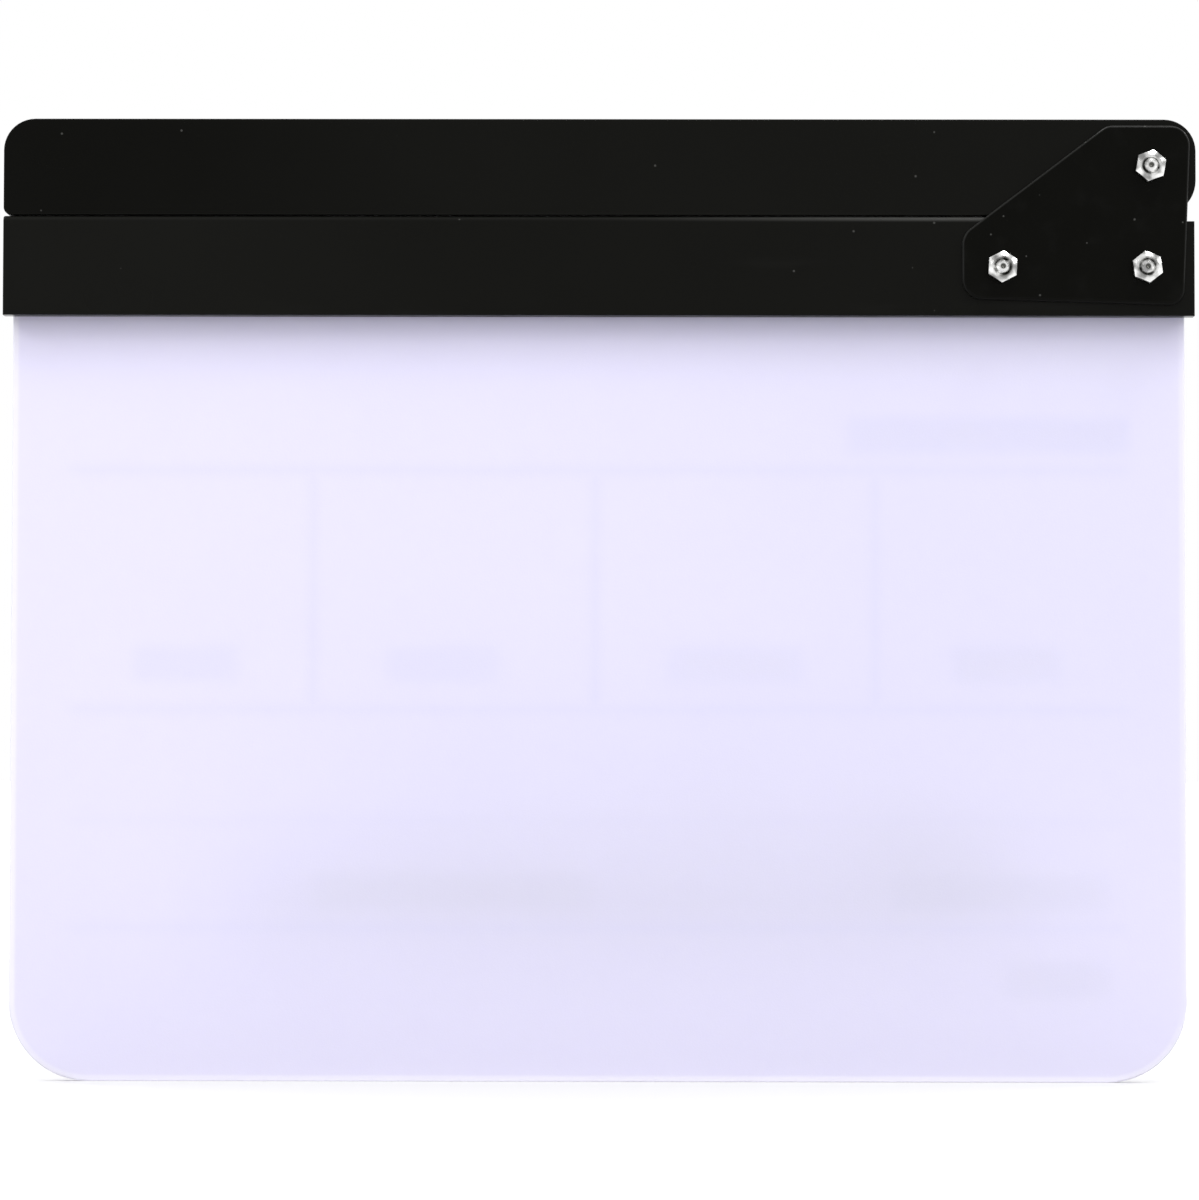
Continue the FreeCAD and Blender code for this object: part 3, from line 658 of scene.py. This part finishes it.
HORIZON = 0.80
CEILING = 2.2
CEILING_START, CEILING_FULL = 0.4, 1.0
BACKDROP_WHITE = (1.0, 1.0, 1.0)
world = bpy.data.worlds.new("studio_surround")
scene.world = world
world.use_nodes = True
tree = world.node_tree
direction = tree.nodes.new("ShaderNodeTexCoord").outputs["Generated"]
x, y, z = split(tree, direction)
surround = ramp(tree, z, CEILING_START, CEILING_FULL, HORIZON, CEILING)
sky = tint(tree, backdrop_share(tree), surround, BACKDROP_WHITE)
tree.links.new(sky, tree.nodes["Background"].inputs["Color"])

LAMP_AIM = Vector((0.0, 0.0, 0.15))
# place and width of each lamp in metres, and its power in watts
LAMPS = {
    "rear_top": ((-0.40, 0.45, 1.45), 0.36, 7.8),
    "rear_left": ((1.10, 0.55, 1.00), 0.30, 3.2),
    "rear_right": ((-1.15, 0.55, 0.85), 0.30, 2.9),
    "front_top": ((0.40, -0.45, 1.45), 0.36, 7.3),
    "front_left": ((-1.10, -0.55, 1.00), 0.30, 2.9),
    "front_right": ((1.15, -0.55, 0.85), 0.30, 2.6),
}
for name, (spot, size, watts) in LAMPS.items():
    lamp = bpy.data.lights.new(f"lamp_{name}", "AREA")
    lamp.shape = "SQUARE"
    lamp.size = size
    lamp.energy = watts
    holder = bpy.data.objects.new(f"lamp_{name}", lamp)
    holder.location = spot
    holder.rotation_mode = "QUATERNION"
    holder.rotation_quaternion = (LAMP_AIM - Vector(spot)).to_track_quat("-Z", "Y")
    scene.collection.objects.link(holder)


# The camera: a long lens that looks square at the rear of the slate from a metre away, and a little
# from below. Its small turns were fitted to the slate's outline in the photo.
CAMERA_DISTANCE = 1.0
CAMERA_LENS = 118.86
SENSOR_WIDTH = 36.0
CAMERA_AIM = Vector((-0.37, 0.0, 121.04)) * MM
CAMERA_PITCH = math.radians(2.096)
CAMERA_YAW = math.radians(0.224)
CAMERA_ROLL = math.radians(0.087)
sight = Vector(
    (
        math.sin(CAMERA_YAW) * math.cos(CAMERA_PITCH),
        -math.cos(CAMERA_YAW) * math.cos(CAMERA_PITCH),
        math.sin(CAMERA_PITCH),
    )
)
lens = bpy.data.cameras.new("camera")
lens.sensor_width = SENSOR_WIDTH
lens.lens = CAMERA_LENS
camera = bpy.data.objects.new("camera", lens)
camera.location = CAMERA_AIM - sight * CAMERA_DISTANCE
camera.rotation_mode = "QUATERNION"
camera.rotation_quaternion = sight.to_track_quat("-Z", "Y") @ Quaternion((0, 0, 1), CAMERA_ROLL)
scene.collection.objects.link(camera)
scene.camera = camera
